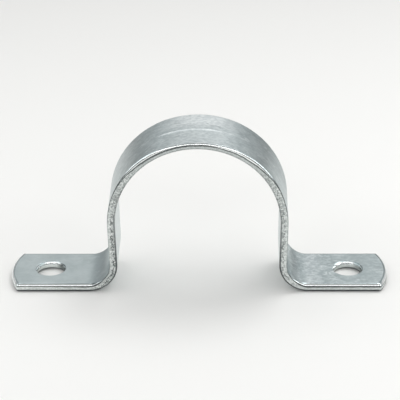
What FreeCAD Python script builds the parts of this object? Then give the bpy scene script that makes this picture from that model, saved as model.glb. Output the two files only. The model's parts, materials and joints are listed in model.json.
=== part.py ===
# Two-hole conduit strap, pressed from one strip of zinc-plated steel.
#
# The strip lies along X, the conduit runs through it along Y, and Z points away from the wall.
# The origin is on the wall side of the feet, midway between the two screw holes.
# From the crown of the arch outwards, each half of the strip is a quarter turn round the
# conduit, a leg that leans in a little, a bend, and a flat foot with a screw hole and a bowed tip.
# The strip was sheared and punched from its outer side, so its edges and the rims of its holes
# are rolled over on that side, and they stay sharp on the wall side.

import FreeCAD, Part
import math
import os

from FreeCAD import Vector

# Driving sizes, in millimetres and degrees.
conduit_diameter = 42.2
arch_clearance = 0.1
conduit_grip = 1.5
strip_thickness = 2.0
strip_width = 17.5
leg_lean_deg = 1.3
bend_radius = 5.5
flat_foot_length = 21.0
tip_bow_radius = 19.4
hole_diameter = 7.14
hole_to_tip = 10.3
edge_roll_radius = 0.5
rim_roll_radius = 0.5
land_depth = 0.1
land_width = 8.25
land_start_deg = -26.0
land_end_deg = 31.0

# The arch fits the conduit with a little clearance. The strap stands lower than the conduit by
# the grip, so the screws draw the feet down to the wall and clamp the conduit.
arch_radius = conduit_diameter / 2 + arch_clearance
outer_radius = arch_radius + strip_thickness
arch_centre = Vector(0, 0, conduit_diameter - conduit_grip - arch_radius)

# The leg runs on from the arch without a kink, down to the bend. The bend's centre lies one
# bend radius outside the leg's outer face, and one bend radius above the top of the foot.
lean = math.radians(leg_lean_deg)
leg_outward = Vector(math.cos(lean), 0, -math.sin(lean))
leg_down = Vector(-math.sin(lean), 0, -math.cos(lean))
leg_head = arch_centre + leg_outward * (outer_radius + bend_radius)
leg_length = (leg_head.z - strip_thickness - bend_radius) / math.cos(lean)
bend_centre = leg_head + leg_down * leg_length
tip_reach = bend_centre.x + flat_foot_length
hole_reach = tip_reach - hole_to_tip


def mirrored(point):
    """The same point on the left half of the strap."""
    return Vector(-point.x, point.y, point.z)


def arch_point(angle_deg, radius):
    """A point round the arch's centre, at an angle from the crown towards +X."""
    angle = math.radians(angle_deg)
    return arch_centre + Vector(math.sin(angle), 0, math.cos(angle)) * radius


def strip_profile(depth):
    """Edges of one face of the bent strip, from the left tip to the right tip.

    The depth is measured from the inner face: 0 gives the inner face itself, and the
    strip's thickness gives the outer face. All arcs keep their centres.
    """
    turn = arch_radius + depth
    bend = bend_radius + strip_thickness - depth
    leg_top = arch_centre + leg_outward * turn
    leg_foot = bend_centre - leg_outward * bend
    foot_start = bend_centre - Vector(0, 0, bend)
    foot_end = Vector(tip_reach, 0, depth)
    half_bend = (math.pi / 2 - lean) / 2
    bend_middle = bend_centre - Vector(math.sin(half_bend), 0, math.cos(half_bend)) * bend
    crown = arch_centre + Vector(0, 0, turn)
    return [
        Part.LineSegment(mirrored(foot_end), mirrored(foot_start)).toShape(),
        Part.Arc(mirrored(foot_start), mirrored(bend_middle), mirrored(leg_foot)).toShape(),
        Part.LineSegment(mirrored(leg_foot), mirrored(leg_top)).toShape(),
        Part.Arc(mirrored(leg_top), crown, leg_top).toShape(),
        Part.LineSegment(leg_top, leg_foot).toShape(),
        Part.Arc(leg_foot, bend_middle, foot_start).toShape(),
        Part.LineSegment(foot_start, foot_end).toShape(),
    ]


def bent_strip():
    """The strip bent to its profile, with square ends."""
    ends = [
        Part.LineSegment(Vector(x, 0, 0), Vector(x, 0, strip_thickness)).toShape()
        for x in (-tip_reach, tip_reach)
    ]
    outline = Part.__sortEdges__(strip_profile(0) + strip_profile(strip_thickness) + ends)
    section = Part.Face(Part.Wire(outline))
    section.translate(Vector(0, -strip_width / 2, 0))
    return section.extrude(Vector(0, strip_width, 0))


def blank_prism():
    """The plan of the strip, straight sides and bowed tips, taller than the strap."""
    half_width = strip_width / 2
    bow_depth = tip_bow_radius - math.sqrt(tip_bow_radius**2 - half_width**2)
    front = Vector(tip_reach - bow_depth, -half_width, 0)
    back = Vector(tip_reach - bow_depth, half_width, 0)
    tip = Vector(tip_reach, 0, 0)
    plan = [
        Part.LineSegment(mirrored(front), front).toShape(),
        Part.Arc(front, tip, back).toShape(),
        Part.LineSegment(back, mirrored(back)).toShape(),
        Part.Arc(mirrored(back), mirrored(tip), mirrored(front)).toShape(),
    ]
    return Part.Face(Part.Wire(plan)).extrude(Vector(0, 0, 2 * conduit_diameter))


def screw_hole(x):
    """A punch through one foot."""
    below_foot = Vector(x, 0, -strip_thickness)
    return Part.makeCylinder(hole_diameter / 2, 3 * strip_thickness, below_foot)


def outer_rims(strip):
    """The edges of the outer face where it meets a sheared wall, and the rims of the holes.

    The long edges and the tips come first, and the rims of the holes second.
    """
    outer_face = Part.Wire(strip_profile(strip_thickness))
    long_edges = []
    hole_rims = []
    for edge in strip.Edges:
        middle = edge.valueAt((edge.FirstParameter + edge.LastParameter) / 2)
        in_profile = Part.Vertex(middle.x, 0, middle.z)
        on_outer_face = in_profile.distToShape(outer_face)[0] < edge_roll_radius / 100
        across_strip = abs(edge.tangentAt(edge.FirstParameter).y) > 0.999
        if on_outer_face and edge.isClosed():
            hole_rims.append(edge)
        elif on_outer_face and not across_strip:
            long_edges.append(edge)
    return long_edges, hole_rims


def crown_land():
    """What the press takes off the front half of the crown.

    The land is deep from its left end to its middle, and runs out at its right end.
    """
    start = arch_point(land_start_deg, outer_radius - land_depth)
    middle = arch_point((land_start_deg + land_end_deg) / 2, outer_radius - land_depth)
    end = arch_point(land_end_deg, outer_radius)
    above_start = arch_point(land_start_deg, 2 * outer_radius)
    above_end = arch_point(land_end_deg, 2 * outer_radius)
    section = [
        Part.Arc(start, middle, end).toShape(),
        Part.LineSegment(end, above_end).toShape(),
        Part.LineSegment(above_end, above_start).toShape(),
        Part.LineSegment(above_start, start).toShape(),
    ]
    press = Part.Face(Part.Wire(section)).extrude(Vector(0, 2 * land_width, 0))
    press.translate(Vector(0, -strip_width / 2 - land_width, 0))
    return press


def conduit_strap():
    """The whole strap: bent, trimmed, punched, rolled over at its edges and pressed."""
    strap = bent_strip().common(blank_prism())
    for side in (-1, 1):
        strap = strap.cut(screw_hole(side * hole_reach))
    long_edges, hole_rims = outer_rims(strap)
    strap = strap.makeFillet(edge_roll_radius, long_edges)
    strap = strap.makeFillet(rim_roll_radius, outer_rims(strap)[1])
    return strap.cut(crown_land())


os.makedirs("parts", exist_ok=True)
strap = conduit_strap()
strap.exportStep("parts/conduit_strap.step")
print("conduit_strap", len(strap.Solids), "solid, hole spacing", round(2 * hole_reach, 3))
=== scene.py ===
# %% [markdown]
# A conduit strap holds a round steel conduit against a wall. It starts as a flat blank, which a
# press shears from steel strip, punches twice and folds into an arch with two feet. At last it is
# plated with zinc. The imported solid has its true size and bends. Here the same strap is made again
# as one fine surface, so that light can run along its rolled-over edges, its torn walls and its
# plating.

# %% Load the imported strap
import json
import math

import bmesh
import bpy
import numpy as np
from mathutils import Matrix, Vector


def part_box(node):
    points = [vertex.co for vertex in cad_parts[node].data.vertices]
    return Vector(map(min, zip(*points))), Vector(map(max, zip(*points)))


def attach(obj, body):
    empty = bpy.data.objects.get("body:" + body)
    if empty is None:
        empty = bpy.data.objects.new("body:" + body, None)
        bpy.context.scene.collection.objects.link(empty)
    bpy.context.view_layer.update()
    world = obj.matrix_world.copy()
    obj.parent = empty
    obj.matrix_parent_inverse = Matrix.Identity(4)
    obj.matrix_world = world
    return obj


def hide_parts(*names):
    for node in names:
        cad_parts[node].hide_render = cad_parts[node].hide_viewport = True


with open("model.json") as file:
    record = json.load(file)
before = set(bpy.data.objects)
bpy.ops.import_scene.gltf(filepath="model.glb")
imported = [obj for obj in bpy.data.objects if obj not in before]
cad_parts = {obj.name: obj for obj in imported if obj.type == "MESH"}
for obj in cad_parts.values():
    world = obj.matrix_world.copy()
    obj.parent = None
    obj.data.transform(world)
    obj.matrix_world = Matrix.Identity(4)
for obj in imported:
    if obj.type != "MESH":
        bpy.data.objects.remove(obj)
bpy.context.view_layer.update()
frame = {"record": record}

# %% [markdown]
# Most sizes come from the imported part: its box gives the width and the length, and its mounts give
# the conduit's arch and the screw holes. The press's own sizes, which no mount gives, are named
# here. The rolled edge is given as how far in and how far down it reaches. Bending stretched it
# nearly flat on the legs, and the feet kept all of it.

# %% Sizes, in metres
MM = 0.001
far_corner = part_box("conduit_strap")[1]
mounts = {mount["name"]: mount for mount in frame["record"]["mounts"]}
arch_radius = mounts["conduit_saddle"]["dims"]["r_mm"] * MM
arch_height = mounts["conduit_saddle"]["pos_m"][2]
hole_reach = mounts["screw_holes"]["dims"]["spacing_x_mm"] * MM / 2
hole_radius = mounts["screw_holes"]["dims"]["hole_r_mm"] * MM
tip_reach = far_corner.x
half_width = far_corner.y
sheet = 2.0 * MM
bend_radius = 5.5 * MM
leg_lean = math.radians(1.3)
tip_bow_radius = 19.4 * MM
crown_roll = (0.32 * MM, 0.42 * MM)
leg_roll = (0.2 * MM, 0.2 * MM)
foot_roll = (1.0 * MM, 1.0 * MM)
rim_roll = (0.42 * MM, 0.65 * MM)
burr_break = 0.35 * MM
print("arch", round(arch_radius / MM, 2), "mm, holes", round(2 * hole_reach / MM, 2), "mm apart")

# %% [markdown]
# A press bends sheet without stretching the middle of its thickness. So any point of the flat
# blank can be carried onto the bent strap by following that middle line: round the conduit, down
# the leg, back through the bend and out along the foot. Modelling the blank flat and carrying it
# over keeps every feature square to the sheet, and patterns that follow the blank turn with the
# metal.

# %% Carry the flat blank onto the bent strap
leg_angle = math.pi / 2 + leg_lean
mid_arch = arch_radius + sheet / 2
mid_bend = bend_radius + sheet / 2
arch_length = mid_arch * leg_angle
bend_length = mid_bend * leg_angle
bend_drop = mid_bend * (1 - math.cos(leg_angle))
leg_drop = arch_height + mid_arch * math.cos(leg_angle) - bend_drop - sheet / 2
leg_length = leg_drop / math.sin(leg_angle)
foot_start = arch_length + leg_length + bend_length


def bend_blank(along, across, depth):
    """Carries points of the blank onto the strap, and returns their x, y and z.

    along runs both ways from the crown on the middle line, across runs along the conduit, and
    depth is the height above the inner face. The middle line's x adds up the arch's radius times
    the sine of the turned angle, the leg's run, the bend's share and the foot's run, and its z
    does the same with cosines. The normal there leans over by the turned angle, and depth is laid
    off along it.
    """
    reach = np.abs(along)
    turned = np.clip(reach / mid_arch, 0, leg_angle)
    on_leg = np.clip(reach - arch_length, 0, leg_length)
    turned_back = np.clip((reach - arch_length - leg_length) / mid_bend, 0, leg_angle)
    on_foot = np.maximum(reach - foot_start, 0)
    lean = turned - turned_back
    after_arch = turned_back > 0
    bend_x = np.where(after_arch, mid_bend * (math.sin(leg_angle) - np.sin(lean)), 0)
    bend_z = np.where(after_arch, mid_bend * (math.cos(leg_angle) - np.cos(lean)), 0)
    x = mid_arch * np.sin(turned) + on_leg * math.cos(leg_angle) + bend_x + on_foot
    z = arch_height + mid_arch * np.cos(turned) - on_leg * math.sin(leg_angle) + bend_z
    above = depth - sheet / 2
    side = np.where(along < 0, -1.0, 1.0)
    return np.stack([side * (x + above * np.sin(lean)), across, z + above * np.cos(lean)], -1)


foot_start_x = bend_blank(np.array(foot_start), 0, sheet / 2)[0]
hole_along = foot_start + hole_reach - foot_start_x
tip_along = foot_start + tip_reach - foot_start_x
print("blank", round(2 * tip_along / MM, 1), "mm long, leg", round(leg_length / MM, 2), "mm")

# %% [markdown]
# The press cuts from the outer side. Its punch first drags the face over into a round edge, then
# shears a smooth wall, and at last the metal tears. The edge's outline is a quarter circle, a
# straight wall and a small quarter circle where the burr was broken off. On the crown and in the
# holes the roll comes closer to a plain bevel. Each point of an outline has an inset from the wall
# and a depth, so one outline serves the long edges, the tips and the holes.

# %% Outline of a sheared edge
roll_points = 11
wall_points = 6
crown_bevel = 0.7
rim_bevel = 0.85


def sheared_edge(roll, bevel=0.0):
    """Insets and depths from the outer face to the inner face.

    The roll's inset is its width times one minus the sine of the angle turned, and its depth falls
    by its drop times one minus the cosine. The bevel's share mixes that quarter turn with the
    straight line between its ends. The broken burr is a quarter circle, turned over, with half as
    many points.
    """
    width, drop = roll
    angle = np.linspace(0, math.pi / 2, roll_points)
    share = np.linspace(0, 1, roll_points)
    wall = np.linspace(sheet - drop, burr_break, wall_points + 2)[1:-1]
    out = (1 - bevel) * (1 - np.sin(angle)) + bevel * (1 - share)
    down = (1 - bevel) * (1 - np.cos(angle)) + bevel * share
    inset = [width * out, np.zeros(len(wall)), burr_break * (1 - np.cos(angle[::2]))]
    depth = [sheet - drop * down, wall, burr_break * (1 - np.sin(angle[::2]))]
    return np.concatenate(inset), np.concatenate(depth)


edge_inset, edge_depth = sheared_edge(foot_roll)
rim_inset, rim_depth = sheared_edge(rim_roll, rim_bevel)
print("edge outline of", len(edge_inset), "points")

# %% [markdown]
# The arch, legs and bends are one closed cross-section carried along the strip. The cross-section
# goes over the outer face, down one sheared edge, back under the inner face and up the other edge.
# Closely spaced lines beside the edges keep the flat faces flat under smooth shading. The rolled
# edge changes from the crown's to the legs' and then to the feet's by mixing three cross-sections,
# point by point.

# %% Grid of the strip between its feet
face_columns, face_margin = 34, 0.008
arch_rows, leg_rows, bend_rows = 90, 14, 32
roll_narrows_from, roll_narrows_over = 12 * MM, 14 * MM
roll_widens_from = 51 * MM


def eased(count, margin):
    """Numbers from 0 to 1, evenly spaced but for one extra line a margin inside each end."""
    return np.concatenate([[0, margin], np.linspace(0, 1, count)[1:-1], [1 - margin, 1]])


face_lines = 2 * eased(face_columns, face_margin) - 1
outer_inset = edge_inset[0]
inner_inset = edge_inset[-1]


def smooth(value):
    """A step from 0 to 1 whose ends are level: three times the square less twice the cube."""
    value = np.clip(value, 0, 1)
    return value * value * (3 - 2 * value)


def strip_loop(inset, depth):
    """Across and depth of the closed cross-section.

    It runs over the outer face, the back edge, the inner face and the front edge.
    """
    outer = face_lines[1:-1] * (half_width - inset[0])
    inner = face_lines[::-1][1:-1] * (half_width - inset[-1])
    across = [outer, half_width - inset, inner, inset[::-1] - half_width]
    heights = [np.full(len(outer), sheet), depth, np.zeros(len(inner)), depth[::-1]]
    return np.stack([np.concatenate(across), np.concatenate(heights)])


def strip_stations():
    """Places along the strip, spaced finely where it bends and widely down the flat legs."""
    leg_end = arch_length + leg_length
    half = [
        np.linspace(0, arch_length, arch_rows),
        np.linspace(arch_length, leg_end, leg_rows),
        np.linspace(leg_end, foot_start, bend_rows),
    ]
    right = np.unique(np.concatenate(half))
    return np.concatenate([-right[:0:-1], right])


stations = strip_stations()
to_leg = smooth((np.abs(stations) - roll_narrows_from) / roll_narrows_over)[:, None]
to_foot = smooth((np.abs(stations) - roll_widens_from) / (foot_start - roll_widens_from))[:, None]
crown_loop = strip_loop(*sheared_edge(crown_roll, crown_bevel))[:, None]
leg_loop = strip_loop(*sheared_edge(leg_roll))[:, None]
foot_loop = strip_loop(*sheared_edge(foot_roll))[:, None]
loops = crown_loop + to_leg * (leg_loop - crown_loop) + to_foot * (foot_loop - leg_loop)
strip_grid = np.stack(np.broadcast_arrays(stations[:, None], *loops), -1)
print("strip grid", strip_grid.shape[:2])

# %% [markdown]
# A foot is a plate with a round hole, so its lines run outwards from the hole like spokes, and
# each spoke ends on the blank's edge or on the line where the bend begins. The edge's inset moves
# the outline inwards everywhere at once: the sides shift, and the bowed tip shrinks about its
# centre.

# %% Grids of a foot
side_points, bow_points = 26, 34
spoke_points, spoke_margin = 11, 0.02


def foot_outline(inset):
    """Along and across of the foot's edge at an inset, from one end of the bend line to the other.

    The sides lie at the half width less the inset. The tip is an arc whose radius is less by the
    inset too, and it meets the sides where its sine times that radius is the side's distance.
    """
    side = half_width - inset
    radius = tip_bow_radius - inset
    centre = tip_along - tip_bow_radius
    corner = math.asin(side / radius)
    run = np.linspace(foot_start, centre + radius * math.cos(corner), side_points)
    bow = np.linspace(corner, -corner, bow_points)[1:-1]
    along = np.concatenate([run, centre + radius * np.cos(bow), run[::-1]])
    sides = np.full(side_points, side)
    across = np.concatenate([sides, radius * np.sin(bow), -sides])
    return np.stack([along, across], -1)


def foot_ring(inset):
    """The closed ring round the foot: its outline, and then the bend line back to the start."""
    seam = face_lines[1:-1] * (half_width - inset)
    bend_line = np.stack([np.full(len(seam), foot_start), seam], -1)
    return np.concatenate([foot_outline(inset), bend_line])


def with_depth(grid, depths):
    """A grid of along and across with a depth added to each of its rows."""
    column = np.broadcast_to(depths[:, None, None], grid.shape[:2] + (1,))
    return np.concatenate([grid, column], -1)


def foot_grids():
    """Two grids of one foot: spokes over both faces and through the hole, and the sheared outline.

    A spoke points from the hole's centre to the ring. A point on a face is a mix of the spoke's
    two ends, and a point of the hole's wall lies on the spoke at the hole's radius plus its inset.
    """
    centre = np.array([hole_along, 0.0])
    outer_ring = foot_ring(outer_inset)
    inner_ring = foot_ring(inner_inset)
    spoke = (outer_ring - centre) / np.linalg.norm(outer_ring - centre, axis=1)[:, None]
    bore = centre + spoke * (hole_radius + rim_inset)[:, None, None]
    share = eased(spoke_points, spoke_margin)[:, None, None]
    outer = bore[0] + share * (outer_ring - bore[0])
    inner = bore[-1] + share[::-1] * (inner_ring - bore[-1])
    rows = np.concatenate([inner[:-1], bore[::-1], outer[1:]])
    inner_depths, outer_depths = np.zeros(len(inner) - 1), np.full(len(outer) - 1, sheet)
    faces = with_depth(rows, np.concatenate([inner_depths, rim_depth[::-1], outer_depths]))
    edge = np.stack([foot_outline(inset) for inset in edge_inset])
    return faces, with_depth(edge, edge_depth)


foot_faces, foot_edge = foot_grids()
print("foot grids", foot_faces.shape[:2], foot_edge.shape[:2])

# %% [markdown]
# The press strikes the crown last, to bring the arch to height. That thins the crown a little. The
# strip also curls up at its edges, as any bent strip does, so the tool meets the front edge first
# and leaves a land there: a flatter patch a tenth of a millimetre lower, which starts sharply on
# the left and runs out on the right. The back half keeps its curl. Marks that shallow only show by
# how light slides over them, but they tell a struck arch from a plain one.

# %% Press the crown
strike_depth = 0.15 * MM
strike_full = math.radians(10.0)
strike_end = math.radians(30.0)
curl_share = 0.65
curl_power = 1.5
land_depth = 0.12 * MM
land_step = -0.5 * MM
land_step_width = 0.3 * MM
land_start = math.radians(-26.0)
land_start_width = math.radians(3.0)
land_end = math.radians(31.0)
press_fade = 0.35 * MM


def press_crown(place):
    """Lowers the outer face under the press.

    The strike's drop is full near the crown and fades smoothly by its end, and towards the back
    edge only a third of it is left. The land's drop is full from its start to its middle and fades
    over the other half. Both act on the face and on the rolled edge, and fade out just under the
    roll.
    """
    along, across, depth = np.moveaxis(place, -1, 0)
    angle = along / mid_arch
    struck = smooth((strike_end - np.abs(angle)) / (strike_end - strike_full))
    curl = np.clip(across / half_width, 0, 1) ** curl_power
    strike = strike_depth * struck * (1 - curl_share * curl)
    starts = smooth((angle - land_start) / land_start_width)
    fades = 1 - smooth((angle - land_start) / (land_end - land_start) * 2 - 1)
    inside = smooth((land_step - across) / land_step_width)
    land = land_depth * starts * fades * inside
    near_face = np.clip((depth - sheet + crown_roll[1]) / press_fade + 1, 0, 1)
    return np.stack([along, across, depth - (strike + land) * near_face], -1)


strip_grid = press_crown(strip_grid)
land_middle = strip_grid[len(stations) // 2, len(face_lines) // 4, 2]
print("crown struck", round((sheet - land_middle) / MM, 3), "mm deep")

# %% [markdown]
# The grids become one mesh. Neighbouring points of a grid give its four-sided faces. Three
# attributes go along for the material: the place on the blank, and two shares of the rolled edge's
# quarter turn, one for the strap's outside edges and one for the holes. A share is 0 on the faces,
# grows over the roll and stays 1 down the wall, so it tells the material where a point lies on the
# edge.

# %% Make the strap's mesh
def grid_faces(rows, columns, closed, first):
    """Quads of a grid whose points are numbered row by row from the first number on.

    A closed grid joins its last column to its first.
    """
    row = np.arange(rows - 1)[:, None] * columns
    column = np.arange(columns if closed else columns - 1)
    after = (column + 1) % columns
    quads = np.stack(
        [row + column, row + after, row + columns + after, row + columns + column], -1)
    return quads.reshape(-1, 4) + first


def mirrored(grid):
    """The same grid on the left foot."""
    return grid * np.array([-1.0, 1.0, 1.0])


roll_turn = np.clip(np.arange(len(edge_inset)) / (roll_points - 1), 0, 1)
back_wall = len(face_lines) - 2
strip_walls = np.zeros(strip_grid.shape[:2])
strip_walls[:, back_wall:back_wall + len(edge_inset)] = roll_turn
strip_walls[:, -len(edge_inset):] = roll_turn[::-1]
foot_walls = np.broadcast_to(roll_turn[:, None], foot_edge.shape[:2])
foot_bore = np.zeros(foot_faces.shape[:2])
first_bore = (len(foot_faces) - len(rim_inset)) // 2
foot_bore[first_bore:first_bore + len(rim_inset)] = roll_turn[::-1, None]
parts = [(strip_grid, True), (foot_faces, True), (foot_edge, False)]
parts += [(mirrored(foot_faces), True), (mirrored(foot_edge), False)]
walls = [strip_walls.ravel(), np.zeros(foot_bore.size), foot_walls.ravel()]
bores = [np.zeros(strip_walls.size), foot_bore.ravel(), np.zeros(foot_walls.size)]
walls = np.concatenate(walls + walls[1:])
bores = np.concatenate(bores + bores[1:])
places = np.concatenate([grid.reshape(-1, 3) for grid, closed in parts])
starts = np.cumsum([0] + [grid.shape[0] * grid.shape[1] for grid, closed in parts])
quads = [
    grid_faces(*grid.shape[:2], closed, first) for (grid, closed), first in zip(parts, starts)]
points = bend_blank(places[:, 0], places[:, 1], places[:, 2])
strap_mesh = bpy.data.meshes.new("conduit_strap_plated")
strap_mesh.from_pydata(points.tolist(), [], np.concatenate(quads).tolist())
place_layer = strap_mesh.attributes.new("blank_place", "FLOAT_VECTOR", "POINT")
place_layer.data.foreach_set("vector", places.astype(np.float32).ravel())
for name, share in (("sheared_wall", walls), ("punched_bore", bores)):
    layer = strap_mesh.attributes.new(name, "FLOAT", "POINT")
    layer.data.foreach_set("value", share.astype(np.float32))
print("mesh", len(places), "points,", sum(len(part) for part in quads), "faces")

# %% [markdown]
# Folded sheet is one closed skin. Where two grids meet, their points lie on each other, so points
# closer than a thousandth of a millimetre become one, and then no edge is left open. The faces are
# turned outwards, because shading and volume both follow them. The strap rides on the root, as
# nothing on it moves.

# %% Merge the grids and turn the faces outwards
merge_distance = 0.001 * MM
work = bmesh.new()
work.from_mesh(strap_mesh)
bmesh.ops.remove_doubles(work, verts=work.verts, dist=merge_distance)
bmesh.ops.recalc_face_normals(work, faces=work.faces)
open_edges = sum(not edge.is_manifold for edge in work.edges)
work.to_mesh(strap_mesh)
work.free()
strap_mesh.shade_smooth()
strap = bpy.data.objects.new("conduit_strap_plated", strap_mesh)
bpy.context.scene.collection.objects.link(strap)
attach(strap, "root")
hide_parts("conduit_strap")
print("strap", len(strap_mesh.polygons), "faces,", open_edges, "open edges")

# %% [markdown]
# Colours are easiest to judge as they look on a screen, so they are written as sRGB hex values.
# Blender's shaders work with linear light, and one function turns the one into the other.

# %% Colours and nodes
def linear(hex_colour):
    """The linear colour of an sRGB hex value, by the standard's straight toe and power of 2.4."""
    srgb = np.array([int(hex_colour[i:i + 2], 16) / 255 for i in (1, 3, 5)])
    light = np.where(srgb <= 0.04045, srgb / 12.92, ((srgb + 0.055) / 1.055) ** 2.4)
    return (*light.tolist(), 1.0)


def add_node(tree, kind, settings=(), out=0, **links):
    """Adds a node and returns one of its outputs.

    settings are its own properties. Each link names an input, or counts to it as in _0, and gives
    it a value or another node's output. A MapRange reads from _1 to _2 and gives _3 to _4. A Mix
    goes from its first value to its second by the share _0.
    """
    node = tree.nodes.new("ShaderNode" + kind)
    for name, value in dict(settings).items():
        setattr(node, name, value)
    for name, value in links.items():
        socket = node.inputs[int(name[1:])] if name[0] == "_" else node.inputs[name]
        if isinstance(value, bpy.types.NodeSocket):
            tree.links.new(value, socket)
        else:
            socket.default_value = value
    return node.outputs[out]


def per(size_mm):
    """A texture scale whose features are this many millimetres long."""
    return 1 / (size_mm * MM)


# %% [markdown]
# The strap was plated after pressing, with electroplated zinc under a clear blue passivation. That
# gives the eye a satin grey with a cool cast. Under it lies cold-rolled strip, with faint lines
# from the rolls, a fine grain, soft blotches, and small scuffs from lying in a box with its like.
# These patterns follow the blank's own coordinates, because most of them were there before it was
# bent. Real roll lines are a few hundredths of a millimetre wide. They are drawn coarser here, so
# that a picture can show them. The left foot is the smoothest part, so its grain and scuffs are
# weaker. They are strongest where the right foot begins, on a sandier stretch of the strip.

# %% Zinc-plated steel: patterns of the strip
BLEND = {"data_type": "RGBA"}
DARKEN = {"data_type": "RGBA", "blend_type": "MULTIPLY"}
SMOOTH = {"interpolation_type": "SMOOTHSTEP"}
PLUS = {"operation": "ADD"}
MINUS = {"operation": "SUBTRACT"}
TIMES = {"operation": "MULTIPLY"}
ABSOLUTE = {"operation": "ABSOLUTE"}

plate = bpy.data.materials.new("zinc_plated_steel_strip")
plate.use_nodes = True
tree = plate.node_tree
shader = tree.nodes["Principled BSDF"]
shader.inputs["Metallic"].default_value = 1.0
place = add_node(tree, "Attribute", {"attribute_name": "blank_place"}, "Vector")
wall = add_node(tree, "Attribute", {"attribute_name": "sheared_wall"}, "Fac")
bore = add_node(tree, "Attribute", {"attribute_name": "punched_bore"}, "Fac")
along = add_node(tree, "SeparateXYZ", (), "X", _0=place)
across = add_node(tree, "SeparateXYZ", (), "Y", _0=place)
depth = add_node(tree, "SeparateXYZ", (), "Z", _0=place)
from_crown = add_node(tree, "Math", ABSOLUTE, _0=along)

blotches = add_node(tree, "TexNoise", Vector=place, Scale=per(5.0), Detail=3.0)
grain_place = add_node(tree, "VectorMath", TIMES, _0=place, _1=(0.75, 1, 1))
grain = add_node(tree, "TexNoise", Vector=grain_place, Scale=per(0.8), Detail=3.0, Roughness=0.65)
line_place = add_node(tree, "VectorMath", TIMES, _0=place, _1=(0.12, 1, 1))
roll_lines = add_node(tree, "TexNoise", Vector=line_place, Scale=per(0.45))
scuff_place = add_node(tree, "VectorMath", TIMES, _0=place, _1=(0.5, 1, 1))
scuffs = add_node(
    tree, "TexNoise", Vector=scuff_place,
    Scale=per(1.3), Detail=5.0, Roughness=0.6, Distortion=0.8)

smooth_foot = add_node(
    tree, "MapRange", SMOOTH, Value=along, _1=-70 * MM, _2=-5 * MM, _3=0.25, _4=1.0)
sandy_foot = add_node(
    tree, "MapRange", SMOOTH, Value=along, _1=40 * MM, _2=58 * MM, _3=smooth_foot, _4=1.45)
sandy = add_node(
    tree, "MapRange", SMOOTH, Value=along, _1=62 * MM, _2=68 * MM, _3=sandy_foot, _4=0.95)
grain_full = add_node(tree, "MapRange", SMOOTH, Value=grain, _1=0.4, _2=0.6, _4=0.6)
grain_share = add_node(tree, "Math", TIMES, _0=grain_full, _1=sandy)
pale_full = add_node(tree, "MapRange", SMOOTH, Value=scuffs, _1=0.56, _2=0.68, _4=0.5)
pale_share = add_node(tree, "Math", TIMES, _0=pale_full, _1=sandy)
dark_full = add_node(tree, "MapRange", SMOOTH, Value=scuffs, _1=0.33, _2=0.42, _3=0.45, _4=0.0)
dark_share = add_node(tree, "Math", TIMES, _0=dark_full, _1=sandy)
blotch_share = add_node(tree, "MapRange", SMOOTH, Value=blotches, _1=0.3, _2=0.7)
zinc = add_node(tree, "Mix", BLEND, 2, _0=blotch_share, _6=linear("#b1bcbd"), _7=linear("#bcc6c7"))
print("patterns of the strip,", len(tree.nodes), "nodes so far")

# %% [markdown]
# The zinc carries painted light and shade, each mixed in as a tone. Painted sheen makes it pale
# on the struck crown and most on its back half, on the left shoulder and a little on the right
# one, and in a band where the right foot begins. A painted highlight runs along the step of the
# land. Painted shade makes the back half of the right shoulder greyer and the left bend darker.
# The inner face only touched the smooth mandrel, so it is paler. Each mark is a colour mixed in
# over a stretch of the blank, with a share that fades at its ends.

# %% Zinc-plated steel: painted sheen and shade
crown_end, roll_narrow = 14 * MM, 26 * MM
shoulder_end, leg_start = 28 * MM, 36 * MM
# The pale tone paints highlights and sheen, and the grey one paints shade on the rolled edges.
painted_highlight_tone, painted_roll_shade_tone = "#f6fafa", "#7f8a8b"

# Painted sheen: the struck crown, most on its back half, is painted pale.
off_strike = add_node(tree, "Math", MINUS, _0=along, _1=0.8 * MM)
from_strike = add_node(tree, "Math", ABSOLUTE, _0=off_strike)
struck = add_node(
    tree, "MapRange", SMOOTH, Value=from_strike, _1=3 * MM, _2=12 * MM, _3=1.0, _4=0.0)
crown_sheen_across = add_node(
    tree, "MapRange", SMOOTH, Value=across, _1=0.5 * MM, _2=4 * MM, _3=0.42, _4=0.85)
struck_painted_sheen = add_node(tree, "Math", TIMES, _0=struck, _1=crown_sheen_across)

# Painted sheen: the left shoulder, and a little of the right one, are painted pale.
shoulder_back = add_node(
    tree, "MapRange", SMOOTH, Value=across, _1=-4 * MM, _2=4 * MM, _3=0.2, _4=0.0)
shoulder_side = add_node(
    tree, "MapRange", SMOOTH, Value=along, _1=-10 * MM, _2=10 * MM, _3=0.4, _4=shoulder_back)
shoulder_ends = add_node(
    tree, "MapRange", SMOOTH, Value=from_crown, _1=34 * MM, _2=50 * MM, _3=shoulder_side, _4=0.0)
shoulder_painted_sheen = add_node(
    tree, "MapRange", SMOOTH, Value=from_crown, _1=crown_end, _2=20 * MM, _4=shoulder_ends)

# Painted shade: the back half of the right shoulder is painted greyer.
back_half = add_node(tree, "MapRange", SMOOTH, Value=across, _1=-2 * MM, _2=4 * MM, _4=0.35)
shoulder_shade_starts = add_node(
    tree, "MapRange", SMOOTH, Value=along, _1=crown_end, _2=21 * MM, _4=back_half)
shoulder_painted_shade = add_node(
    tree, "MapRange", SMOOTH, Value=along, _1=shoulder_end, _2=leg_start, _3=shoulder_shade_starts, _4=0.0)

# Painted sheen: a band where the right foot begins is painted pale.
foot_sheen_starts = add_node(tree, "MapRange", SMOOTH, Value=along, _1=55.5 * MM, _2=57.5 * MM)
foot_start_painted_sheen = add_node(
    tree, "MapRange", SMOOTH, Value=along, _1=58.5 * MM, _2=62 * MM, _3=foot_sheen_starts, _4=0.0)

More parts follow.
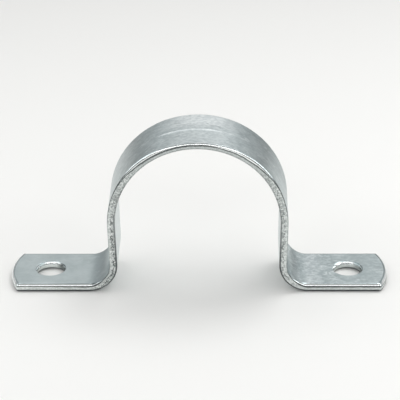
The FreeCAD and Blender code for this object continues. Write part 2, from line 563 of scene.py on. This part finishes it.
# Painted shade: the left bend is painted darker.
bend_shade_starts = add_node(
    tree, "MapRange", SMOOTH, Value=along, _1=-58.2 * MM, _2=-55.2 * MM, _4=0.88)
left_bend_painted_shade = add_node(
    tree, "MapRange", SMOOTH, Value=along, _1=-54.5 * MM, _2=-48.5 * MM, _3=bend_shade_starts, _4=0.0)

# Painted highlight: the step of the land is painted near white.
on_step = add_node(tree, "Math", {"operation": "COMPARE"}, _0=across, _1=-0.35 * MM, _2=0.14 * MM)
step_starts = add_node(tree, "MapRange", SMOOTH, Value=along, _1=-10.6 * MM, _2=-9.4 * MM, _4=0.75)
step_run = add_node(
    tree, "MapRange", SMOOTH, Value=along, _1=5 * MM, _2=14 * MM, _3=step_starts, _4=0.0)
step_painted_highlight = add_node(tree, "Math", TIMES, _0=on_step, _1=step_run)

inside = add_node(tree, "MapRange", SMOOTH, Value=depth, _1=0.0, _2=0.1 * MM, _3=0.6, _4=0.0)
marks = (
    (struck_painted_sheen, "#e6ebeb"), (shoulder_painted_sheen, "#d5dcdc"), (shoulder_painted_shade, "#8f9a9c"),
    (foot_start_painted_sheen, "#ccd4d5"), (left_bend_painted_shade, "#97a2a4"), (step_painted_highlight, painted_highlight_tone), (inside, "#eaf0f0"))
for share, tone in marks:
    zinc = add_node(tree, "Mix", BLEND, 2, _0=share, _6=zinc, _7=linear(tone))
zinc = add_node(tree, "Mix", DARKEN, 2, _0=grain_share, _6=zinc, _7=linear("#d9dddf"))
for share, tone in ((pale_share, "#dfe5e6"), (dark_share, "#9aa3a5")):
    zinc = add_node(tree, "Mix", BLEND, 2, _0=share, _6=zinc, _7=linear(tone))

face_roughness = add_node(tree, "MapRange", Value=blotches, _1=0.3, _2=0.7, _3=0.33, _4=0.38)
face_height = add_node(tree, "Mix", _0=0.85, _2=roll_lines, _3=grain)
print("marks of the tools,", len(tree.nodes), "nodes so far")

# %% [markdown]
# A sheared wall has two bands. Where the punch cut, it is burnished, and where the metal tore, it
# is rough and matt. Where the rolled edge ends, a dark line of painted shade stands in for the dark
# room reflected there, and a ragged line shows where the tearing began. One noise turns both lines
# aside. The rolled edge is narrowest on the legs, so the painted line lies high there, and it lies
# lower round the crown and on the feet. Round the crown it is wider on the left half than on the
# right one.

# %% Zinc-plated steel: painted crease shade and tear of the walls
off_crown = add_node(tree, "MapRange", SMOOTH, Value=from_crown, _1=crown_end, _2=roll_narrow)
off_foot = add_node(
    tree, "MapRange", SMOOTH, Value=from_crown, _1=51 * MM, _2=57.5 * MM, _3=1.0, _4=0.0)
on_legs = add_node(tree, "Math", TIMES, _0=off_crown, _1=off_foot)
off_legs = add_node(tree, "Math", MINUS, _0=1.0, _1=on_legs)
wander = add_node(tree, "TexNoise", Vector=place, Scale=per(1.6), Detail=4.0, Roughness=0.65)
wide_end = add_node(
    tree, "MapRange", SMOOTH, Value=from_crown,
    _1=20 * MM, _2=50 * MM, _3=sheet - 0.92 * MM, _4=sheet - 0.77 * MM)
roll_end = add_node(tree, "Mix", _0=on_legs, _2=wide_end, _3=sheet - 0.1 * MM)
wavy = add_node(tree, "MapRange", Value=wander, _1=0.35, _2=0.65, _3=-0.07 * MM, _4=0.07 * MM)
crease_depth = add_node(tree, "Math", PLUS, _0=roll_end, _1=wavy)
over_crease = add_node(tree, "Math", MINUS, _0=depth, _1=crease_depth)
from_crease = add_node(tree, "Math", ABSOLUTE, _0=over_crease)
crown_width = add_node(
    tree, "MapRange", SMOOTH, Value=along, _1=-1 * MM, _2=6 * MM, _3=0.38 * MM, _4=0.22 * MM)
wide_crease = add_node(
    tree, "MapRange", SMOOTH, Value=from_crown,
    _1=13 * MM, _2=19 * MM, _3=crown_width, _4=0.28 * MM)
crease_width = add_node(tree, "Mix", _0=on_legs, _2=wide_crease, _3=0.15 * MM)
# Painted shade: a dark line under the rolled edge, for the dark room reflected there.
crease_shade_line = add_node(
    tree, "MapRange", SMOOTH, Value=from_crease, _1=0.04 * MM, _2=crease_width, _3=0.95, _4=0.0)

tear_depth = add_node(tree, "MapRange", Value=wander, _1=0.35, _2=0.65, _3=0.6 * MM, _4=1.1 * MM)
over_tear = add_node(tree, "Math", MINUS, _0=depth, _1=tear_depth)
from_tear = add_node(tree, "Math", ABSOLUTE, _0=over_tear)
torn = add_node(
    tree, "MapRange", SMOOTH, Value=over_tear, _1=-0.05 * MM, _2=0.05 * MM, _3=1.0, _4=0.0)
tear_row = add_node(
    tree, "MapRange", SMOOTH, Value=from_tear, _1=0.2 * MM, _2=0.6 * MM, _3=1.0, _4=0.0)
near_tear = add_node(tree, "Math", TIMES, _0=tear_row, _1=on_legs)
print("crease and tear,", len(tree.nodes), "nodes so far")

# %% [markdown]
# Bending opens the torn grain, so the walls of the legs have bright crumbs and dark pits along the
# tear, more on the left leg than on the right one. All walls are mottled, and the shoulders most.
# The left foot's wall is the palest. At the wall's foot the broken burr carries painted shade, most
# on the feet, for the contact shadow there. Real pits are about a tenth of a millimetre wide. They
# are drawn three times as coarse here, so that a picture can show them.

# %% Zinc-plated steel: pits and tones of the walls
pits = add_node(tree, "TexNoise", Vector=place, Scale=per(0.33), Detail=3.0, Roughness=0.7)
deep_pits = add_node(tree, "MapRange", SMOOTH, Value=pits, _1=0.45, _2=0.58)
pitted_side = add_node(
    tree, "MapRange", SMOOTH, Value=along, _1=-10 * MM, _2=10 * MM, _3=1.0, _4=0.55)
pitted_leg = add_node(
    tree, "MapRange", SMOOTH, Value=from_crown, _1=24 * MM, _2=36 * MM, _4=pitted_side)
pit_full = add_node(tree, "Math", TIMES, _0=near_tear, _1=deep_pits)
pit_share = add_node(tree, "Math", TIMES, _0=pit_full, _1=pitted_leg)
crumb_side = add_node(tree, "Math", TIMES, _0=pitted_side, _1=0.7)
crumb_full = add_node(tree, "Math", TIMES, _0=on_legs, _1=crumb_side)
crumb_share = add_node(
    tree, "MapRange", SMOOTH, Value=pits, _1=0.38, _2=0.46, _3=crumb_full, _4=0.0)

mottle_starts = add_node(
    tree, "MapRange", SMOOTH, Value=from_crown, _1=16 * MM, _2=22 * MM, _3=0.5, _4=0.95)
mottle_ends = add_node(
    tree, "MapRange", SMOOTH, Value=from_crown,
    _1=shoulder_end, _2=leg_start, _3=mottle_starts, _4=0.5)
mottle_full = add_node(tree, "Mix", _0=bore, _2=mottle_ends, _3=0.2)
mottle_share = add_node(tree, "MapRange", SMOOTH, Value=pits, _1=0.43, _2=0.57, _4=mottle_full)
bright_sides = add_node(
    tree, "MapRange", SMOOTH, Value=from_crown, _1=crown_end, _2=roll_narrow, _4=0.3)
bright_share = add_node(
    tree, "MapRange", SMOOTH, Value=along, _1=-56 * MM, _2=-48 * MM, _3=1.0, _4=bright_sides)
# Painted shade: the foot of the wall is painted dark, for the contact shadow under it.
burr_shade_outside = add_node(
    tree, "MapRange", SMOOTH, Value=from_crown, _1=20 * MM, _2=58 * MM, _3=0.3, _4=0.95)
burr_shade_full = add_node(tree, "Mix", _0=bore, _2=burr_shade_outside, _3=0.55)
burr_painted_shade = add_node(
    tree, "MapRange", SMOOTH, Value=depth, _1=0.32 * MM, _2=0.52 * MM, _3=burr_shade_full, _4=0.0)

tones = (
    (torn, "#d4dad9"), (bright_share, "#ecf2f0"), (mottle_share, "#9aa09f"),
    (crumb_share, "#ffffff"), (pit_share, "#565b5c"), (burr_painted_shade, "#30363a"))
sheared = linear("#cad0cf")
for share, tone in tones:
    sheared = add_node(tree, "Mix", BLEND, 2, _0=share, _6=sheared, _7=linear(tone))
sheared_height = add_node(tree, "Mix", _0=near_tear, _2=pits, _3=deep_pits)
sheared_roughness = add_node(tree, "Mix", _0=torn, _2=0.25, _3=0.42)
print("pits and tones of the walls,", len(tree.nodes), "nodes so far")

# %% [markdown]
# The rolled-over edge is smooth, and the faces' fine relief ends there. The roll is painted near
# white where the front lamps' line falls on it, a painted highlight that makes it the brightest
# part of the strap. Its top, next to the face, carries painted shade, most on the right foot and at
# the corners of the tips, so that the lamps above leave no line there. In the left bend the roll
# carries deeper painted shade, and so does the right side of each hole's rim. All these places are
# told apart by the share of the roll's quarter turn that each point of the mesh carries.

# %% Zinc-plated steel: rolled edges
turn = add_node(tree, "Math", {"operation": "MAXIMUM"}, _0=wall, _1=bore)
cut = add_node(tree, "MapRange", SMOOTH, Value=turn, _1=0.0, _2=0.1)
on_roll = add_node(tree, "Math", TIMES, _0=off_legs, _1=cut)
in_hole = add_node(tree, "Math", {"operation": "GREATER_THAN"}, _0=bore, _1=0.01)

# Painted highlight: the roll is painted near white where the front lamps' line falls.
near_feet = add_node(tree, "MapRange", SMOOTH, Value=from_crown, _1=40 * MM, _2=50 * MM)
roll_sheen_starts = add_node(tree, "Mix", _0=near_feet, _2=0.38, _3=0.28)
roll_sheen_full = add_node(tree, "Mix", _0=near_feet, _2=0.5, _3=0.4)
low_on_roll = add_node(tree, "MapRange", SMOOTH, Value=turn, _1=roll_sheen_starts, _2=roll_sheen_full)
roll_painted_highlight = add_node(tree, "Math", TIMES, _0=off_legs, _1=low_on_roll)

# Painted shade: the top of the roll, next to the face, is painted grey.
roll_shade_side = add_node(
    tree, "MapRange", SMOOTH, Value=along, _1=-70 * MM, _2=-58 * MM, _3=0.35, _4=0.75)
roll_shade_full = add_node(
    tree, "MapRange", SMOOTH, Value=from_crown, _1=20 * MM, _2=50 * MM, _4=roll_shade_side)
high_on_roll = add_node(tree, "MapRange", SMOOTH, Value=wall, _1=0.2, _2=0.3, _3=roll_shade_full, _4=0.0)
outside_holes = add_node(tree, "Math", MINUS, _0=on_roll, _1=in_hole)
roll_top_painted_shade = add_node(
    tree, "Math", {"operation": "MULTIPLY", "use_clamp": True}, _0=outside_holes, _1=high_on_roll)

# Painted shade: the roll at the corners of the tips is painted grey.
tip_corner_shade_starts = add_node(
    tree, "MapRange", SMOOTH, Value=from_crown, _1=75.2 * MM, _2=75.7 * MM, _4=0.6)
corner = add_node(
    tree, "MapRange", SMOOTH, Value=from_crown,
    _1=76.2 * MM, _2=76.6 * MM, _3=tip_corner_shade_starts, _4=0.0)
tip_corner_painted_shade = add_node(tree, "Math", TIMES, _0=on_roll, _1=corner)

# Painted shade: the roll in the left bend is painted dark.
deepest_bend_shade = add_node(tree, "MapRange", SMOOTH, Value=left_bend_painted_shade, _1=0.5, _2=0.7, _4=0.6)
bend_roll_painted_shade = add_node(tree, "Math", TIMES, _0=cut, _1=deepest_bend_shade)

# Painted shade: the right side of each hole's rim is painted dark.
past_centre = add_node(tree, "Math", MINUS, _0=from_crown, _1=hole_along)
foot_side = add_node(tree, "Math", {"operation": "SIGN"}, _0=along)
right_of_hole = add_node(tree, "Math", TIMES, _0=past_centre, _1=foot_side)
rim_shade_side = add_node(tree, "MapRange", Value=along, _1=-1 * MM, _2=1 * MM, _3=0.8, _4=0.4)
rim_shade_full = add_node(
    tree, "MapRange", SMOOTH, Value=right_of_hole, _1=1.0 * MM, _2=2.8 * MM, _4=rim_shade_side)
rim_painted_shade = add_node(tree, "Math", TIMES, _0=rim_shade_full, _1=in_hole)

rolled = zinc
tones = (
    (roll_painted_highlight, painted_highlight_tone), (roll_top_painted_shade, painted_roll_shade_tone), (tip_corner_painted_shade, painted_roll_shade_tone),
    (bend_roll_painted_shade, "#4c5658"))
for share, tone in tones:
    rolled = add_node(tree, "Mix", BLEND, 2, _0=share, _6=rolled, _7=linear(tone))
print("rolled edges,", len(tree.nodes), "nodes so far")

# %% [markdown]
# One plating covers the whole strap, so one material does too. The wall takes over below the
# crease. The crease's painted shade is dark from the crown to the shoulders and on the feet, and
# faint down the legs, and it fades towards the tip of the left foot.

# %% Zinc-plated steel: all together
below_roll = add_node(
    tree, "MapRange", SMOOTH, Value=over_crease, _1=0.0, _2=0.15 * MM, _3=1.0, _4=0.0)
wall_share = add_node(tree, "Math", TIMES, _0=cut, _1=below_roll)
crease_starts = add_node(tree, "Mix", _0=on_legs, _2=0.6, _3=0.1)
crease_full = add_node(tree, "Mix", _0=on_legs, _2=0.9, _3=0.4)
low_on_wall = add_node(tree, "MapRange", SMOOTH, Value=wall, _1=crease_starts, _2=crease_full)
past_shoulder = add_node(
    tree, "MapRange", SMOOTH, Value=from_crown, _1=shoulder_end, _2=leg_start, _3=1.0, _4=0.35)
past_leg = add_node(
    tree, "MapRange", SMOOTH, Value=from_crown, _1=45 * MM, _2=51 * MM, _3=past_shoulder, _4=0.9)
near_left_tip = add_node(
    tree, "MapRange", SMOOTH, Value=along, _1=-72 * MM, _2=-54 * MM, _3=0.0, _4=1.0)
crease_shade_reach = add_node(tree, "Math", TIMES, _0=past_leg, _1=near_left_tip)
crease_shade_on_wall = add_node(tree, "Math", TIMES, _0=low_on_wall, _1=crease_shade_line)
crease_painted_shade = add_node(tree, "Math", TIMES, _0=crease_shade_on_wall, _1=crease_shade_reach)
colour = add_node(tree, "Mix", BLEND, 2, _0=wall_share, _6=rolled, _7=sheared)
for share, tone in ((crease_painted_shade, "#3c4343"), (rim_painted_shade, "#5a6364")):
    colour = add_node(tree, "Mix", BLEND, 2, _0=share, _6=colour, _7=linear(tone))

cut_roughness = add_node(tree, "Mix", _0=in_hole, _2=0.2, _3=0.27)
rolled_roughness = add_node(tree, "Mix", _0=cut, _2=face_roughness, _3=cut_roughness)
roughness = add_node(tree, "Mix", _0=wall_share, _2=rolled_roughness, _3=sheared_roughness)
bump_height = add_node(tree, "Mix", _0=wall_share, _2=face_height, _3=sheared_height)
bump_depth = add_node(tree, "Mix", _0=wall_share, _2=0.005 * MM, _3=0.02 * MM)
bump_share = add_node(tree, "Math", MINUS, _0=1.0, _1=on_roll)
bump = add_node(tree, "Bump", Strength=bump_share, Distance=bump_depth, Height=bump_height)
tree.links.new(colour, shader.inputs["Base Color"])
tree.links.new(roughness, shader.inputs["Roughness"])
tree.links.new(bump, shader.inputs["Normal"])
strap_mesh.materials.append(plate)
print("material", plate.name, len(tree.nodes), "nodes")

# %% [markdown]
# The strap lies on a sheet of white paper, which gives a matt, pale floor. A pressed strap is
# never quite flat, so it touches the paper in a few places only, and a thin dark line shows under
# its feet. The floor is a plane that lies that much lower.

# %% Floor
floor_size = 3.0
floor_gap = 0.18 * MM
paper_roughness = 0.9
corners = ((-1, -1), (1, -1), (1, 1), (-1, 1))
floor_mesh = bpy.data.meshes.new("floor")
floor_mesh.from_pydata(
    [(x * floor_size, y * floor_size, -floor_gap) for x, y in corners], [], [(0, 1, 2, 3)])
floor = bpy.data.objects.new("floor", floor_mesh)
bpy.context.scene.collection.objects.link(floor)
paper = bpy.data.materials.new("white_paper")
paper.use_nodes = True
paper_shader = paper.node_tree.nodes["Principled BSDF"]
paper_shader.inputs["Base Color"].default_value = linear("#eeeeec")
paper_shader.inputs["Roughness"].default_value = paper_roughness
floor_mesh.materials.append(paper)
print("floor", floor_size, "m")

# %% [markdown]
# Bright metal shows what stands round it, so a studio lights it with large soft lamps. A long box
# in front draws the bright line along the rolled edges, the rear lamps and the pale wall behind
# give the faces their even glow, and two cards light the legs from the sides. The front half of
# the room is dark, so that the walls of the sheet keep their contrast. The radiances were solved
# together, so that the floor comes out pale and the shadows soft.

# %% Lights
def softbox(name, azimuth, elevation, width, height, radiance, distance=0.45):
    """A rectangular lamp at a distance from the strap, turned to face it.

    The azimuth runs from behind the strap towards its right, in degrees. A one-sided lamp has this
    radiance when its watts are pi times its area times the radiance.
    """
    lamp = bpy.data.lights.new(name, "AREA")
    lamp.shape = "RECTANGLE"
    lamp.size, lamp.size_y = width, height
    lamp.energy = math.pi * width * height * radiance
    body = bpy.data.objects.new(name, lamp)
    turn, rise = math.radians(azimuth), math.radians(elevation)
    level = math.cos(rise)
    away = Vector((math.sin(turn) * level, math.cos(turn) * level, math.sin(rise)))
    body.location = away * distance
    body.rotation_euler = (-away).to_track_quat("-Z", "Y").to_euler()
    bpy.context.scene.collection.objects.link(body)


softbox("overhead", 180, 78, 0.36, 0.36, 0.4)
softbox("front", 180, 40, 0.70, 0.17, 1.9, 0.7)
softbox("front_right", 132, 40, 0.27, 0.18, 1.35)
softbox("front_left", 228, 40, 0.27, 0.18, 1.35)
softbox("right_rear", 47, 60, 0.24, 0.17, 4.0)
softbox("rear", 0, 50, 0.70, 0.30, 0.3)
softbox("left_rear", -47, 60, 0.28, 0.17, 1.0)
softbox("right_card", 92, 28, 0.36, 0.18, 3.3)
softbox("left_card", -92, 33, 0.36, 0.20, 2.5)
print("lamps", len(bpy.data.lights))

# %% [markdown]
# The room itself is the world. Behind the strap stands a pale wall, which fades out towards the
# floor and towards the sides, and the rest of the room is nearly black. Two smooth steps over the
# direction of a ray give that, with no picture of a room.

# %% Studio room
wall_radiance = 0.64
room_radiance = 0.06
world = bpy.data.worlds.new("studio")
world.use_nodes = True
sky = world.node_tree
direction = add_node(sky, "TexCoord", (), "Generated")
rearward = add_node(sky, "SeparateXYZ", (), "Y", _0=direction)
upward = add_node(sky, "SeparateXYZ", (), "Z", _0=direction)
rear_share = add_node(sky, "MapRange", SMOOTH, Value=rearward, _1=0.1, _2=0.5)
wall_light = add_node(sky, "MapRange", SMOOTH, Value=upward, _1=-0.2, _2=0.34, _4=wall_radiance)
backdrop = add_node(
    sky, "Math", {"operation": "MULTIPLY_ADD"}, _0=rear_share, _1=wall_light, _2=room_radiance)
sky.nodes["Background"].inputs["Color"].default_value = (1.0, 1.0, 1.0, 1.0)
sky.links.new(backdrop, sky.nodes["Background"].inputs["Strength"])
bpy.context.scene.world = world
print("room", len(sky.nodes), "nodes")

# %% [markdown]
# The picture was taken from half a metre away with a long lens, looking down at the strap. The
# camera's turn, height, roll and distance were fitted to the strap's outline. Its matrix holds
# three directions at right angles, rolled about the line of sight, and its place.

# %% Camera
camera_turn = math.radians(1.334)
camera_height = math.radians(26.857)
camera_roll = math.radians(-0.668)
camera_distance = 480.34 * MM
camera_target = Vector((0.469, 0.0, 22.153)) * MM
focal_length_px = 1855.5
frame_px = 400

camera_data = bpy.data.cameras.new("photo_camera")
camera_data.sensor_width = 36.0
camera_data.lens = focal_length_px / frame_px * camera_data.sensor_width
camera_data.clip_start = 10 * MM
camera = bpy.data.objects.new("photo_camera", camera_data)
back = Vector((
    math.sin(camera_turn) * math.cos(camera_height),
    -math.cos(camera_turn) * math.cos(camera_height),
    math.sin(camera_height)))
right = Vector((math.cos(camera_turn), math.sin(camera_turn), 0.0))
up = back.cross(right)
rolled_right = right * math.cos(camera_roll) + up * math.sin(camera_roll)
rolled_up = up * math.cos(camera_roll) - right * math.sin(camera_roll)
camera.matrix_world = Matrix.Translation(camera_target + back * camera_distance) @ Matrix(
    (rolled_right, rolled_up, back)).transposed().to_4x4()
bpy.context.scene.collection.objects.link(camera)
bpy.context.scene.camera = camera
bpy.context.scene.view_settings.view_transform = "Standard"
print("lens", round(camera_data.lens, 1), "mm")
